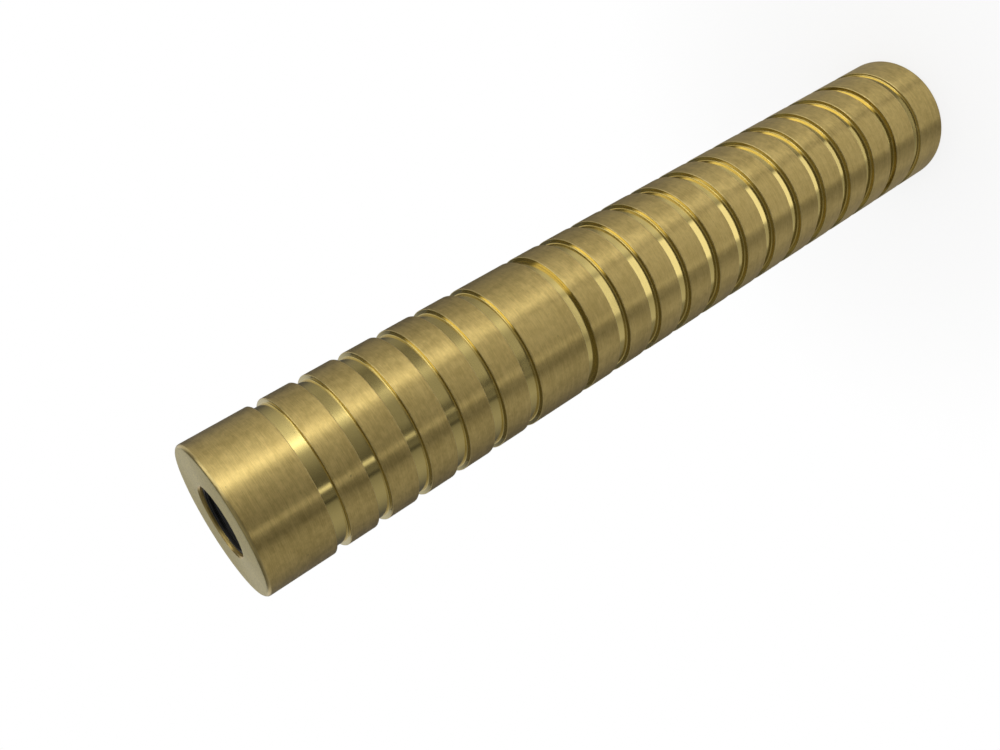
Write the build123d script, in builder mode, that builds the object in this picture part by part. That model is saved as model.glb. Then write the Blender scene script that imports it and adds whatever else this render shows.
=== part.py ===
from build123d import *
import math
import os

# Laser pointer turned from solid brass, in millimetres.
# It stands on its tail: the tail face is at z = 0, the axis is Z and the beam leaves upwards.

# Outside of the pointer
tube_wall = 3.6
rim_break = 0.4
lip_break = 0.15
floor_fillet = 0.2
ring_pitch = 7.5
ring_width = 2.4
ring_depth = 0.8
seam_width = 2.0
front_land = 11.8
head_rings = 6
head_rear_land = 10.4
cap_rear_land = 7.5
cap_front_land = 6.0
cap_ring_width = 2.0
cap_ring_depth = 0.5

# Gaps between pieces, and how closely an edge's radius is matched
fixed_gap = 0.02
running_gap = 0.05
contact_gap = 0.1
radius_match = 0.0001

# Screwed joints between the head, the tube and the tail cap
thread_step = 0.6
spigot_length = 7.0
seal_land_step = 0.2
seal_land_length = 2.6
seal_section = 0.86
seal_width = 1.1
seal_inset = 0.8
seal_round = 0.3
spigot_wall = 1.5

# Rechargeable cell
cell_d = 18.3
cell_length = 65.2
cell_end_gap = 0.6
cell_side_gap = 0.25
wrap_wall = 0.12
can_wall = 0.25
cell_gasket_wall = 0.74
cell_cap_wall = 0.5
cell_button_d = 5.5
cell_button_height = 1.6
crimp_drop = 1.2
crimp_lip = 1.5

# Laser module in the head
module_d = 12.0
module_recess = 0.55
module_length = 31.45
module_flange_step = 1.0
module_flange_height = 1.2
module_front_wall = 0.7
module_thread_depth = 8.0
module_waist_d = 7.0
module_waist_length = 7.0
module_rear_wall = 1.0
clamp_ring_height = 2.0
clamp_ring_wall = 2.3
lens_ring_recess = 0.75
lens_ring_height = 2.5
lens_ring_bore_d = 7.2
lens_ring_flare = 0.5
lens_slot_width = 1.2
lens_slot_depth = 0.8
lens_side_gap = 0.4
lens_edge = 1.2
lens_dome_d = 6.8
lens_dome_height = 0.8
lens_spring_side_gap = 0.7
lens_spring_wire = 0.4
lens_spring_pitch = 1.0

# Laser diode
holder_length = 6.5
diode_d = 5.6
diode_base_height = 1.2
diode_set_back = 0.3
diode_cap_d = 3.6
diode_cap_wall = 0.25
diode_cap_height = 2.3
diode_window_d = 1.6
diode_chip_size = 1.0
diode_pin_d = 0.45
diode_pin_length = 7.5
diode_pin_circle_d = 2.54
pin_passage_d = 4.0

# Driver in the head
cavity_step = 0.7
board_side_gap = 0.2
contact_board_thickness = 1.2
board_rim = 0.8
contact_ring_wall = 1.2
driver_side_gap = 0.28
driver_length = 22.0
driver_thickness = 1.0
sleeve_wall = 0.5
sleeve_overlap = 2.0
chip_size = (4.9, 1.5, 3.9)
chip_height = 8.0
inductor_size = (6.0, 3.0, 6.0)
inductor_height = 11.0
capacitor_size = (3.2, 1.6, 2.5)
capacitor_height = 3.0
capacitor_spacing = 4.5
lead_d = 1.0
lead_spacing = 8.0
lead_pad_height = 15.0
lead_straight = 9.0
lead_tail = 6.5
lead_bend_r = 20.0
contact_spring_d = 10.0
contact_spring_tip_d = 4.4
contact_spring_wire = 0.8
contact_spring_pitch = 1.7

# Tail cap, button and switch
tail_wall = 4.5
button_d = 10.0
button_recess = 0.4
button_dish = 0.4
button_rim = 0.6
button_edge = 0.3
button_flange_step = 1.8
button_flange_height = 1.2
button_boss_d = 5.0
button_boss_height = 1.0
button_travel = 1.5
button_seal_section = 0.66
button_seal_width = 1.0
button_seal_height = 1.8
switch_cavity_step = 0.9
switch_corner_gap = 0.18
switch_height = 6.0
switch_clearance = 2.0
plunger_d = 3.5
plunger_length = 4.3
plunger_bore_depth = 5.0
switch_spring_wire = 0.3
switch_spring_pitch = 0.8
switch_board_thickness = 1.6
terminal_spacing = 5.0
terminal_size = (0.8, 0.5)
terminal_length = 2.4
terminal_hole_d = 1.4
tail_spring_d = 11.6
tail_spring_tip_d = 6.0
tail_spring_wire = 0.9
tail_spring_pitch = 2.2

# Radii worked out from the sizes above
cell_r = cell_d / 2
can_r = cell_r - wrap_wall - fixed_gap
roll_r = can_r - can_wall - fixed_gap
cap_plate_r = roll_r - cell_gasket_wall
tube_bore_r = cell_r + cell_side_gap
body_r = tube_bore_r + tube_wall
ring_floor_r = body_r - ring_depth
thread_r = tube_bore_r + thread_step
seal_land_r = thread_r + seal_land_step
seal_floor_r = seal_land_r - seal_section + running_gap
seal_bore_r = seal_land_r + running_gap
thread_bore_r = thread_r + running_gap
spigot_bore_r = thread_r - spigot_wall
contact_ring_r = spigot_bore_r - fixed_gap
board_r = spigot_bore_r - board_side_gap
cavity_r = spigot_bore_r - cavity_step
sleeve_r = cavity_r - fixed_gap
driver_width = 2 * (sleeve_r - sleeve_wall - driver_side_gap)
switch_cavity_r = spigot_bore_r - switch_cavity_step
switch_width = math.sqrt(2) * (switch_cavity_r - switch_corner_gap)
module_r = module_d / 2
module_bore_r = module_r + fixed_gap
module_rear_r = module_r - module_rear_wall
module_thread_r = module_r - module_front_wall
lens_ring_r = module_thread_r - running_gap
lens_r = module_thread_r - lens_side_gap
lens_spring_d = 2 * (module_thread_r - lens_spring_side_gap)
pin_circle_r = diode_pin_circle_d / 2
button_r = button_d / 2
button_hole_r = button_r + running_gap
button_flange_r = button_r + button_flange_step

# Heights worked out from the tail face upwards
land = ring_pitch - ring_width
cap_top = cap_rear_land + cap_ring_width + cap_front_land
tube_bottom = cap_top + seam_width
tube_length = cell_length + 2 * (spigot_length + cell_end_gap)
tube_top = tube_bottom + tube_length
head_shoulder = tube_top + seam_width
head_length = front_land + head_rings * ring_pitch - land + head_rear_land
total_length = head_shoulder + head_length
tube_rings = math.floor((tube_length - land) / ring_pitch)
cap_spigot_top = tube_bottom + spigot_length
head_spigot_bottom = tube_top - spigot_length
cell_bottom = cap_spigot_top + cell_end_gap
cell_top = cell_bottom + cell_length
button_rest = tail_wall + button_flange_height + button_boss_height
switch_bottom = tail_wall + button_flange_height + button_travel + switch_clearance
switch_top = switch_bottom + switch_height
switch_board_top = switch_top + switch_board_thickness
cavity_bottom = tube_top - board_rim
contact_board_bottom = cavity_bottom - contact_board_thickness
driver_ring_bottom = contact_board_bottom - clamp_ring_height
module_top = total_length - module_recess
module_seat = module_top - module_length
module_bottom = module_seat - module_flange_height
module_ledge = module_top - module_thread_depth
holder_top = module_ledge - module_waist_length
holder_bottom = holder_top - holder_length
diode_base_top = holder_top - diode_set_back
diode_base_bottom = diode_base_top - diode_base_height
pin_bottom = diode_base_bottom - diode_pin_length
lens_ring_top = module_top - lens_ring_recess
lens_ring_bottom = lens_ring_top - lens_ring_height
lens_top = lens_ring_bottom
lens_bottom = lens_top - lens_edge


def disc(inner_r, outer_r, bottom, top):
    """One rectangle of the section that is being drawn, from one radius and height to another."""
    with Locations((inner_r, bottom)):
        Rectangle(outer_r - inner_r, top - bottom, align=(Align.MIN, Align.MIN))


def groove(floor_r, outer_r, bottom, width):
    """A square groove cut into the section, open towards the outside."""
    with Locations((floor_r, bottom)):
        Rectangle(outer_r - floor_r, width, align=(Align.MIN, Align.MIN), mode=Mode.SUBTRACT)


def bore(inner_r, outer_r, bottom, top):
    """A stretch of hollow cut out of the section."""
    with Locations((inner_r, bottom)):
        Rectangle(outer_r - inner_r, top - bottom, align=(Align.MIN, Align.MIN), mode=Mode.SUBTRACT)


def circles_at(part, radius):
    """The round edges of one radius, for breaking or filleting them."""
    circles = part.edges().filter_by(GeomType.CIRCLE)
    return circles.filter_by(lambda edge: abs(edge.radius - radius) < radius_match)


def write(part, name):
    part.label = name
    export_step(part, f"parts/{name}.step")


def coil(name, bottom, top, bottom_d, top_d, wire, pitch):
    """A coil spring between two heights, cylindrical or conical."""
    height = top - bottom - wire
    bottom_r = (bottom_d - wire) / 2
    top_r = (top_d - wire) / 2
    cone = math.degrees(math.atan((top_r - bottom_r) / height))
    with BuildPart() as spring:
        with BuildLine() as path:
            Helix(pitch, height, bottom_r, center=(0, 0, bottom + wire / 2), cone_angle=cone)
        with BuildSketch(Plane(origin=path.line @ 0, z_dir=path.line % 0)):
            Circle(wire / 2)
        sweep(is_frenet=True)
    write(spring.part, name)


def seal(name, floor_r, section, bottom, width, corner):
    """An O-ring as it sits squeezed in its groove."""
    with BuildPart() as ring:
        with BuildSketch(Plane.XZ):
            with Locations((floor_r, bottom)):
                RectangleRounded(section, width, corner, align=(Align.MIN, Align.MIN))
        revolve(axis=Axis.Z)
    write(ring.part, name)


os.makedirs("parts", exist_ok=True)

# Battery tube: brass, ringed all along, with a thread and a seal seat in each end
with BuildPart() as battery_tube:
    with BuildSketch(Plane.XZ):
        disc(tube_bore_r, body_r, tube_bottom, tube_top)
        for index in range(tube_rings):
            ring_top = tube_top - land - index * ring_pitch
            groove(ring_floor_r, body_r, ring_top - ring_width, ring_width)
        bore(tube_bore_r, thread_bore_r, tube_bottom, cap_spigot_top + running_gap)
        bore(tube_bore_r, thread_bore_r, head_spigot_bottom - running_gap, tube_top)
        bore(tube_bore_r, seal_bore_r, tube_bottom, tube_bottom + seal_land_length)
        bore(tube_bore_r, seal_bore_r, tube_top - seal_land_length, tube_top)
    revolve(axis=Axis.Z)
    fillet(circles_at(battery_tube, ring_floor_r), floor_fillet)
    chamfer(circles_at(battery_tube, body_r), lip_break)
write(battery_tube.part, "battery_tube")

# Cell: steel can crimped over its gasket, the wound roll inside, the plus cap and the shrink wrap
can_bottom = cell_bottom
can_top = cell_top - cell_button_height + cell_cap_wall
roll_top = can_top - crimp_drop - cell_cap_wall - cell_button_height
with BuildPart() as cell_can:
    with BuildSketch(Plane.XZ):
        disc(0, can_r, can_bottom, can_top)
        bore(0, can_r - can_wall, can_bottom + can_wall, can_top - can_wall)
        bore(0, can_r - crimp_lip, can_top - can_wall, can_top)
    revolve(axis=Axis.Z)
write(cell_can.part, "cell_can")

with BuildPart() as cell_roll:
    with BuildSketch(Plane.XY.offset(can_bottom + can_wall)):
        Circle(roll_r)
    extrude(amount=roll_top - can_bottom - can_wall)
write(cell_roll.part, "cell_roll")

cap_plate_top = cell_top - cell_button_height
cap_plate_bottom = cap_plate_top - cell_cap_wall
with BuildPart() as cell_gasket:
    with BuildSketch(Plane.XZ):
        disc(cap_plate_r - crimp_lip, roll_r, roll_top, can_top - can_wall)
        bore(cap_plate_r - crimp_lip, cap_plate_r, cap_plate_bottom, can_top - can_wall)
    revolve(axis=Axis.Z)
write(cell_gasket.part, "cell_gasket")

with BuildPart() as cell_cap:
    with BuildSketch(Plane.XZ):
        disc(0, cap_plate_r - fixed_gap, cap_plate_bottom, cap_plate_top)
        disc(0, cell_button_d / 2, cap_plate_top, cell_top)
    revolve(axis=Axis.Z)
write(cell_cap.part, "cell_cap")

with BuildPart() as cell_wrap:
    with BuildSketch(Plane.XZ):
        disc(cell_r - wrap_wall, cell_r, can_bottom, can_top)
        disc(can_r - crimp_lip, cell_r, can_top, can_top + wrap_wall)
    revolve(axis=Axis.Z)
write(cell_wrap.part, "cell_wrap")

# Head: brass, six rings, the module's bore from the front and the driver's cavity from the rear
module_ring_r = cavity_r - fixed_gap
with BuildPart() as head:
    with BuildSketch(Plane.XZ):
        disc(0, body_r, head_shoulder, total_length)
        disc(0, ring_floor_r, tube_top, head_shoulder)
        disc(0, seal_land_r, tube_top - seal_land_length, tube_top)
        disc(0, thread_r, head_spigot_bottom, tube_top - seal_land_length)
        for index in range(head_rings):
            ring_top = total_length - front_land - index * ring_pitch
            groove(ring_floor_r, body_r, ring_top - ring_width, ring_width)
        groove(seal_floor_r, seal_land_r, tube_top - seal_inset - seal_width, seal_width)
        bore(0, spigot_bore_r, head_spigot_bottom, cavity_bottom)
        bore(0, cavity_r, cavity_bottom, module_seat)
        bore(0, module_bore_r, module_seat, total_length)
    revolve(axis=Axis.Z)
    head_floors = circles_at(head, ring_floor_r).filter_by_position(Axis.Z, head_shoulder, total_length)
    fillet(head_floors, floor_fillet)
    chamfer(circles_at(head, body_r).sort_by(Axis.Z)[-1], rim_break)
    chamfer(circles_at(head, body_r).sort_by(Axis.Z)[:-1], lip_break)
    chamfer(circles_at(head, module_bore_r).sort_by(Axis.Z)[-1], rim_break)
write(head.part, "head")

seal_bottom = tube_top - seal_inset - seal_width + fixed_gap
seal_height = seal_width - 2 * fixed_gap
seal_inner_r = seal_floor_r + fixed_gap
seal_depth = seal_bore_r - fixed_gap - seal_inner_r
seal("head_seal", seal_inner_r, seal_depth, seal_bottom, seal_height, seal_round)

# Laser module: black turned barrel with a flange behind, clamped in the head by a threaded ring
with BuildPart() as module_barrel:
    with BuildSketch(Plane.XZ):
        disc(0, module_r, module_seat, module_top)
        disc(0, module_r + module_flange_step, module_bottom, module_seat)
        bore(0, module_rear_r, module_bottom, holder_top)
        bore(0, module_waist_d / 2, holder_top, module_ledge)
        bore(0, module_thread_r, module_ledge, module_top)
    revolve(axis=Axis.Z)
write(module_barrel.part, "module_barrel")

with BuildPart() as module_ring:
    with BuildSketch(Plane.XZ):
        disc(module_ring_r - clamp_ring_wall, module_ring_r, module_bottom - clamp_ring_height, module_bottom)
    revolve(axis=Axis.Z)
write(module_ring.part, "module_ring")

# Focus nut: a slotted ring in the module's thread, with the lens and its spring below it
with BuildPart() as lens_ring:
    with BuildSketch(Plane.XZ):
        disc(lens_ring_bore_d / 2, lens_ring_r, lens_ring_bottom, lens_ring_top)
    revolve(axis=Axis.Z)
    chamfer(circles_at(lens_ring, lens_ring_bore_d / 2).sort_by(Axis.Z)[-1], lens_ring_flare)
    with BuildSketch(Plane.XY.offset(lens_ring_top)):
        Rectangle(2 * module_thread_r, lens_slot_width)
    extrude(amount=-lens_slot_depth, mode=Mode.SUBTRACT)
write(lens_ring.part, "lens_ring")

dome_r = lens_dome_d / 2
with BuildPart() as lens:
    with BuildSketch(Plane.XZ):
        with BuildLine():
            Polyline((dome_r, lens_top), (lens_r, lens_top), (lens_r, lens_bottom), (0, lens_bottom))
            Line((0, lens_bottom), (0, lens_top + lens_dome_height))
            dome_radius = (dome_r**2 + lens_dome_height**2) / (2 * lens_dome_height)
            RadiusArc((0, lens_top + lens_dome_height), (dome_r, lens_top), dome_radius)
        make_face()
    revolve(axis=Axis.Z)
write(lens.part, "lens")

coil(
    "lens_spring",
    module_ledge,
    lens_bottom,
    lens_spring_d,
    lens_spring_d,
    lens_spring_wire,
    lens_spring_pitch,
)

# Laser diode: a stepped base in a copper slug, a windowed cap over its chip, and three pins
diode_r = diode_d / 2
with BuildPart() as diode_holder:
    with BuildSketch(Plane.XZ):
        disc(pin_passage_d / 2, module_rear_r - fixed_gap, holder_bottom, holder_top)
        bore(pin_passage_d / 2, diode_r + fixed_gap, diode_base_bottom, holder_top)
    revolve(axis=Axis.Z)
write(diode_holder.part, "diode_holder")

with BuildPart() as diode_base:
    with BuildSketch(Plane.XY.offset(diode_base_bottom)):
        Circle(diode_r)
    extrude(amount=diode_base_height)
write(diode_base.part, "diode_base")

diode_cap_r = diode_cap_d / 2
diode_cap_top = diode_base_top + diode_cap_height
with BuildPart() as diode_cap:
    with BuildSketch(Plane.XZ):
        disc(0, diode_cap_r, diode_base_top, diode_cap_top)
        bore(0, diode_cap_r - diode_cap_wall, diode_base_top, diode_cap_top - diode_cap_wall)
        bore(0, diode_window_d / 2, diode_cap_top - diode_cap_wall, diode_cap_top)
    revolve(axis=Axis.Z)
write(diode_cap.part, "diode_cap")

with BuildPart() as diode_window:
    with BuildSketch(Plane.XY.offset(diode_cap_top - diode_cap_wall)):
        Circle(diode_cap_r - diode_cap_wall - fixed_gap)
    extrude(amount=-diode_cap_wall)
write(diode_window.part, "diode_window")

with BuildPart() as diode_chip:
    with BuildSketch(Plane.XY.offset(diode_base_top)):
        Rectangle(diode_chip_size, diode_chip_size)
    extrude(amount=diode_chip_size)
write(diode_chip.part, "diode_chip")

with BuildPart() as diode_pins:
    with BuildSketch(Plane.XY.offset(pin_bottom)):
        with Locations((-pin_circle_r, 0), (0, -pin_circle_r), (pin_circle_r, 0)):
            Circle(diode_pin_d / 2)
    extrude(amount=diode_pin_length)
write(diode_pins.part, "diode_pins")

# Driver: a round contact board on the cavity's shoulder, with an upright board in a sleeve on it
with BuildPart() as driver_ring:
    with BuildSketch(Plane.XZ):
        disc(contact_ring_r - contact_ring_wall, contact_ring_r, driver_ring_bottom, contact_board_bottom)
    revolve(axis=Axis.Z)
write(driver_ring.part, "driver_ring")

with BuildPart() as contact_board:
    with BuildSketch(Plane.XY.offset(contact_board_bottom)):
        Circle(board_r)
    extrude(amount=contact_board_thickness)
write(contact_board.part, "contact_board")

with BuildPart() as driver_sleeve:
    with BuildSketch(Plane.XY.offset(cavity_bottom)):
        Circle(sleeve_r)
        Circle(sleeve_r - sleeve_wall, mode=Mode.SUBTRACT)
    extrude(amount=driver_length + sleeve_overlap)
write(driver_sleeve.part, "driver_sleeve")

with BuildPart() as driver_board:
    with BuildSketch(Plane.XY.offset(cavity_bottom)):
        Rectangle(driver_width, driver_thickness)
    extrude(amount=driver_length)
write(driver_board.part, "driver_board")

board_face = driver_thickness / 2
with BuildPart() as driver_chip:
    with Locations((0, board_face, cavity_bottom + chip_height)):
        Box(*chip_size, align=(Align.CENTER, Align.MIN, Align.MIN))
write(driver_chip.part, "driver_chip")

with BuildPart() as driver_inductor:
    with Locations((0, -board_face, cavity_bottom + inductor_height)):
        Box(*inductor_size, align=(Align.CENTER, Align.MAX, Align.MIN))
    fillet(driver_inductor.edges().filter_by(Axis.Y), floor_fillet)
write(driver_inductor.part, "driver_inductor")

with BuildPart() as driver_capacitors:
    for side in (-1, 1):
        with Locations((side * capacitor_spacing / 2, board_face, cavity_bottom + capacitor_height)):
            Box(*capacitor_size, align=(Align.CENTER, Align.MIN, Align.MIN))
write(driver_capacitors.part, "driver_capacitors")

# Leads: one insulated wire on each side, from a pad on the driver up to the diode's outer pins
lead_y = board_face + lead_d / 2 + fixed_gap
for side, name in ((1, "red_lead"), (-1, "black_lead")):
    pad_z = cavity_bottom + lead_pad_height
    route = [
        (side * lead_spacing / 2, lead_y, pad_z),
        (side * lead_spacing / 2, lead_y, pad_z + lead_straight),
        (side * pin_circle_r, 0, pin_bottom - lead_tail),
        (side * pin_circle_r, 0, pin_bottom),
    ]
    with BuildPart() as lead:
        with BuildLine() as path:
            FilletPolyline(*route, radius=lead_bend_r)
        with BuildSketch(Plane(origin=route[0], z_dir=(0, 0, 1))):
            Circle(lead_d / 2)
        sweep()
    write(lead.part, name)

coil(
    "contact_spring",
    cell_top,
    contact_board_bottom,
    contact_spring_tip_d,
    contact_spring_d,
    contact_spring_wire,
    contact_spring_pitch,
)

# Tail cap: brass, one shallow ring, a button hole behind and the switch's cavity from the front
with BuildPart() as tail_cap:
    with BuildSketch(Plane.XZ):
        disc(0, body_r, 0, cap_top)
        disc(0, ring_floor_r, cap_top, tube_bottom)
        disc(0, seal_land_r, tube_bottom, tube_bottom + seal_land_length)
        disc(0, thread_r, tube_bottom + seal_land_length, cap_spigot_top)
        groove(body_r - cap_ring_depth, body_r, cap_rear_land, cap_ring_width)
        groove(seal_floor_r, seal_land_r, tube_bottom + seal_inset, seal_width)
        bore(0, button_hole_r, 0, tail_wall)
        bore(0, switch_cavity_r, tail_wall, switch_top)
        bore(0, spigot_bore_r, switch_top, cap_spigot_top)
    revolve(axis=Axis.Z)
    fillet(circles_at(tail_cap, body_r - cap_ring_depth), floor_fillet)
    chamfer(circles_at(tail_cap, body_r).sort_by(Axis.Z)[0], rim_break)
    chamfer(circles_at(tail_cap, body_r).sort_by(Axis.Z)[1:], lip_break)
    chamfer(circles_at(tail_cap, button_hole_r).sort_by(Axis.Z)[0], button_edge)
write(tail_cap.part, "tail_cap")

tail_seal_bottom = tube_bottom + seal_inset + fixed_gap
seal("tail_seal", seal_inner_r, seal_depth, tail_seal_bottom, seal_height, seal_round)

# Button: brass, dished behind, held in by its flange and sealed by an O-ring on its stem
button_seal_floor_r = button_r - button_seal_section
with BuildPart() as tail_button:
    with BuildSketch(Plane.XZ):
        disc(0, button_r, button_recess, tail_wall)
        disc(0, button_flange_r, tail_wall, tail_wall + button_flange_height)
        disc(0, button_boss_d / 2, tail_wall + button_flange_height, button_rest)
        groove(button_seal_floor_r, button_r, button_seal_height, button_seal_width)
    revolve(axis=Axis.Z)
    chamfer(circles_at(tail_button, button_r).sort_by(Axis.Z)[0], button_edge)
    dish_r = button_r - button_rim
    dish_radius = (dish_r**2 + button_dish**2) / (2 * button_dish)
    with Locations((0, 0, button_recess + button_dish - dish_radius)):
        Sphere(dish_radius, mode=Mode.SUBTRACT)
write(tail_button.part, "tail_button")

button_seal_r = button_seal_floor_r + fixed_gap
button_seal_depth = button_hole_r - fixed_gap - button_seal_r
button_seal_bottom = button_seal_height + fixed_gap
button_seal_length = button_seal_width - 2 * fixed_gap
seal("button_seal", button_seal_r, button_seal_depth, button_seal_bottom, button_seal_length, floor_fillet)

# Switch: a square body with its plunger on the button's boss, soldered to a round board
plunger_r = plunger_d / 2
plunger_top = button_rest + plunger_length
plunger_bore_top = switch_bottom + plunger_bore_depth
with BuildPart() as switch_body:
    with BuildSketch(Plane.XY.offset(switch_bottom)):
        RectangleRounded(switch_width, switch_width, floor_fillet)
    extrude(amount=switch_height)
    with BuildSketch(Plane.XY.offset(switch_bottom)):
        Circle(plunger_r + running_gap)
    extrude(amount=plunger_bore_depth, mode=Mode.SUBTRACT)
write(switch_body.part, "switch_body")

with BuildPart() as switch_plunger:
    with BuildSketch(Plane.XY.offset(button_rest)):
        Circle(plunger_r)
    extrude(amount=plunger_length)
write(switch_plunger.part, "switch_plunger")

switch_spring_d = plunger_d - 2 * running_gap
coil(
    "switch_spring",
    plunger_top,
    plunger_bore_top,
    switch_spring_d,
    switch_spring_d,
    switch_spring_wire,
    switch_spring_pitch,
)

terminal_places = [(-terminal_spacing / 2, 0), (terminal_spacing / 2, 0)]
with BuildPart() as switch_board:
    with BuildSketch(Plane.XY.offset(switch_top)):
        Circle(board_r)
        with Locations(*terminal_places):
            Circle(terminal_hole_d / 2, mode=Mode.SUBTRACT)
    extrude(amount=switch_board_thickness)
write(switch_board.part, "switch_board")

with BuildPart() as switch_terminals:
    with BuildSketch(Plane.XY.offset(switch_top)):
        with Locations(*terminal_places):
            Rectangle(*terminal_size)
    extrude(amount=terminal_length)
write(switch_terminals.part, "switch_terminals")

with BuildPart() as switch_ring:
    with BuildSketch(Plane.XY.offset(switch_board_top)):
        Circle(contact_ring_r)
        Circle(contact_ring_r - contact_ring_wall, mode=Mode.SUBTRACT)
    extrude(amount=clamp_ring_height)
write(switch_ring.part, "switch_ring")

coil(
    "tail_spring",
    switch_board_top,
    cell_bottom - contact_gap,
    tail_spring_d,
    tail_spring_tip_d,
    tail_spring_wire,
    tail_spring_pitch,
)
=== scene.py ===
import math

import bmesh
import bpy
from mathutils import Matrix, Vector


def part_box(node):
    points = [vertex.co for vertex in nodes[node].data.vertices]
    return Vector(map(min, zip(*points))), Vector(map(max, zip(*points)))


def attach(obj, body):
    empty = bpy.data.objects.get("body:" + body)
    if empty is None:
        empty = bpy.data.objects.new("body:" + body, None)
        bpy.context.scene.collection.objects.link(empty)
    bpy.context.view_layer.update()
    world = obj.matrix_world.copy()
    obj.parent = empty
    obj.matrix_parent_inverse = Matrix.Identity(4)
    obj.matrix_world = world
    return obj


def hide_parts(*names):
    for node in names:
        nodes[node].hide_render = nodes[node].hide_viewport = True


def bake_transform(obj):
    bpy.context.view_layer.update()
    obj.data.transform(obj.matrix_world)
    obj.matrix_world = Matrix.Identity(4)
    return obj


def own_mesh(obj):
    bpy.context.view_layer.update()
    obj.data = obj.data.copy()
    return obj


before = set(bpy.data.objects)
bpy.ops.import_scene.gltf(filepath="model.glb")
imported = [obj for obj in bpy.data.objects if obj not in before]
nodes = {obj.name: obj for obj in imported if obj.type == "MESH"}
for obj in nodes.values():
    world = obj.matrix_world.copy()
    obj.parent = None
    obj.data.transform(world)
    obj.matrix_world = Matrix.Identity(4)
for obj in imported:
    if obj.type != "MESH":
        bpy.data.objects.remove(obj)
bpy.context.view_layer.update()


# Camera: it looks down past the aperture, along the pointer, from 156 mm off the axis and just in
# front of the aperture. The pointer stands on its tail, so the camera is rolled until the aperture
# lies at the lower left, as in the photograph.
camera_data = bpy.data.cameras.new("camera")
camera_data.sensor_width = 36.0
camera_data.lens = 36.89
camera_data.clip_start = 0.005
camera_place = Vector((0.0, -0.15561, 0.18548))
camera_target = Vector((-0.00306, 0.0, 0.11055))
camera_roll = math.radians(-121.59)
camera = bpy.data.objects.new("camera", camera_data)
camera_turn = (camera_target - camera_place).to_track_quat("-Z", "Y").to_matrix().to_4x4()
camera.matrix_world = Matrix.Translation(camera_place) @ camera_turn @ Matrix.Rotation(camera_roll, 4, "Z")
bpy.context.collection.objects.link(camera)
bpy.context.scene.camera = camera


# Battery tube: solid brass bar turned to 26 mm, with ten square grip rings cut all along it and a
# thread and a smooth seal seat bored in each end. Its section is drawn corner by corner and turned.
class Wire:
    """The output of a node. Arithmetic written on it adds the Math nodes it needs."""

    def __init__(self, graph, socket):
        self.graph = graph
        self.socket = socket

    def output(self, name):
        return Wire(self.graph, self.socket.node.outputs[name])

    def math(self, operation, *values):
        inputs = dict(enumerate((self,) + values))
        return self.graph.add("ShaderNodeMath", {"operation": operation}, inputs)

    def __add__(self, other):
        return self.math("ADD", other)

    def __sub__(self, other):
        return self.math("SUBTRACT", other)

    def __rsub__(self, other):
        return self.graph.add("ShaderNodeMath", {"operation": "SUBTRACT"}, {0: other, 1: self})

    def __mul__(self, other):
        return self.math("MULTIPLY", other)

    def __truediv__(self, other):
        return self.math("DIVIDE", other)

    def __mod__(self, other):
        return self.math("FLOORED_MODULO", other)

    def __pow__(self, other):
        return self.math("POWER", other)

    def __gt__(self, other):
        return self.math("GREATER_THAN", other)

    def __lt__(self, other):
        return self.math("LESS_THAN", other)

    __radd__ = __add__
    __rmul__ = __mul__

    def rise(self, low, high):
        """0 at low, 1 at high, with a smooth rise between them."""
        settings = {"interpolation_type": "SMOOTHSTEP"}
        return self.graph.add("ShaderNodeMapRange", settings, {0: self, 1: low, 2: high})

    def blend(self, low, high):
        """The colour low where this value is 0 and the colour high where it is 1."""
        return self.graph.add("ShaderNodeMix", {"data_type": "RGBA"}, {0: self, 6: low, 7: high}, 2)


class Graph:
    """A node tree that is filled by one call for each node."""

    def __init__(self, tree):
        self.tree = tree

    def add(self, kind, settings=None, inputs=None, output=0):
        node = self.tree.nodes.new(kind)
        for name, value in (settings or {}).items():
            setattr(node, name, value)
        for key, value in (inputs or {}).items():
            if isinstance(value, Wire):
                self.tree.links.new(value.socket, node.inputs[key])
            elif isinstance(value, tuple) and node.inputs[key].type == "RGBA":
                node.inputs[key].default_value = (*value, 1.0)
            else:
                node.inputs[key].default_value = value
        return Wire(self, node.outputs[output]) if node.outputs else node

    def join(self, *wires):
        joined = self.add("GeometryNodeJoinGeometry")
        for wire in reversed(wires):
            self.tree.links.new(wire.socket, joined.socket.node.inputs[0])
        return joined

    def axes(self, vector):
        """The three parts of a vector."""
        split = self.add("ShaderNodeSeparateXYZ", {}, {0: vector})
        return split.output("X"), split.output("Y"), split.output("Z")

    def noise(self, vector, scale, detail=2.0, roughness=0.5):
        """Cloudy noise from 0 to 1."""
        values = {"Vector": vector, "Scale": scale, "Detail": detail, "Roughness": roughness}
        return self.add("ShaderNodeTexNoise", {}, values)


def new_shape_graph(name, sockets):
    """A geometry tree with named inputs, and one wire for each of them."""
    tree = bpy.data.node_groups.new(name, "GeometryNodeTree")
    tree.interface.new_socket("Geometry", in_out="OUTPUT", socket_type="NodeSocketGeometry")
    for socket, kind in sockets.items():
        tree.interface.new_socket(socket, in_out="INPUT", socket_type="NodeSocket" + kind)
    graph = Graph(tree)
    first = graph.add("NodeGroupInput")
    return graph, {socket: first.output(socket) for socket in sockets}


HUB_RADIUS = 0.001
CORNER_STEPS = 4
TURN_STEPS = 256


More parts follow.
